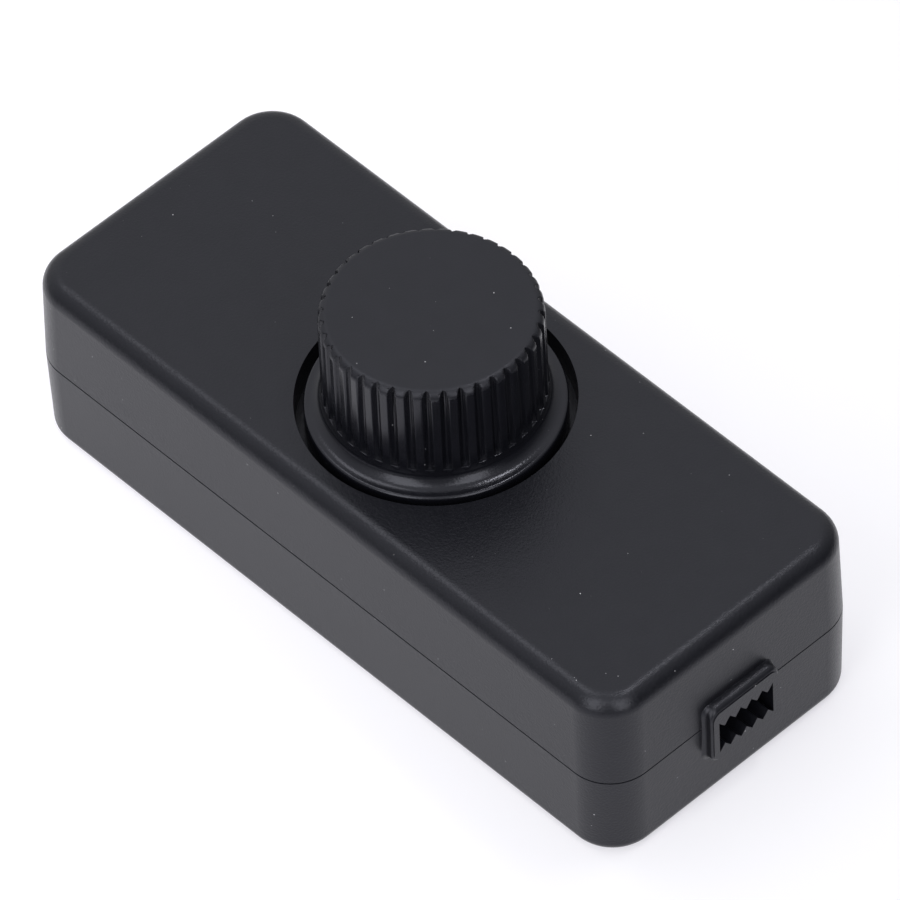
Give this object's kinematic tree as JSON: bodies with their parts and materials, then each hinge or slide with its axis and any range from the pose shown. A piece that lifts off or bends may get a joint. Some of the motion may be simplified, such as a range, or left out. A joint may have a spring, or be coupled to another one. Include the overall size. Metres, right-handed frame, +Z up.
{
  "type": "rotary cord dimmer",
  "caption": "Two-shell in-line housing with a toothed flat-cord inlet at each end and a fluted rotary knob in a round well on top, which sets the brightness of a lamp.",
  "frame": {"origin": "centre of the base, on the surface that the housing rests on", "axes": "+X along the housing from one cord inlet to the other, +Z up along the knob's axis"},
  "size_m": [0.0886, 0.0356, 0.0365],
  "materials": {
    "housing": "fine spark-eroded grain, nearly matt",
    "knob": "smooth satin moulding",
    "zinc_steel": "zinc plated",
    "shaft_nylon": "natural nylon",
    "nickel_plate": "nickel plated",
    "track_board": "phenolic paper board",
    "tinned_metal": "tinned",
    "switch_moulding": "moulded phenolic",
    "board": "bare laminate",
    "epoxy": "moulded epoxy",
    "sheet_aluminium": "rolled sheet",
    "spring_steel": "spring temper",
    "capacitor_yellow": "moulded box",
    "capacitor_red": "dipped film",
    "choke_case": "moulded box",
    "fuse_case": "moulded box",
    "block_nylon": "moulded nylon",
    "clamp_brass": "plain brass"
  },
  "bodies": {
    "housing": {"lower_shell": "housing", "upper_shell": "housing", "case_screws": "zinc_steel", "pot_bushing": "nickel_plate", "pot_nut": "nickel_plate", "pot_wafer": "track_board", "pot_terminals": "tinned_metal", "pot_cover": "zinc_steel", "switch_case": "switch_moulding", "switch_terminals": "tinned_metal", "circuit_board": "board", "triac_body": "epoxy", "triac_leads": "tinned_metal", "heat_sink": "sheet_aluminium", "heat_sink_spring": "spring_steel", "suppression_capacitor": "capacitor_yellow", "timing_capacitor": "capacitor_red", "choke": "choke_case", "fuse": "fuse_case", "diac": "epoxy", "resistors": "epoxy", "line_terminal_block": "block_nylon", "lamp_terminal_block": "block_nylon", "terminal_clamps": "clamp_brass", "terminal_screws": "zinc_steel"},
    "control": {"knob": "knob", "pot_shaft": "shaft_nylon"}
  },
  "joints": [
    {"name": "knob_turn", "type": "hinge", "parent": "housing", "child": "control", "pos_m": [0, 0, 0.0234], "axis": [0, 0, -1], "range_deg": [0, 300]}
  ]
}
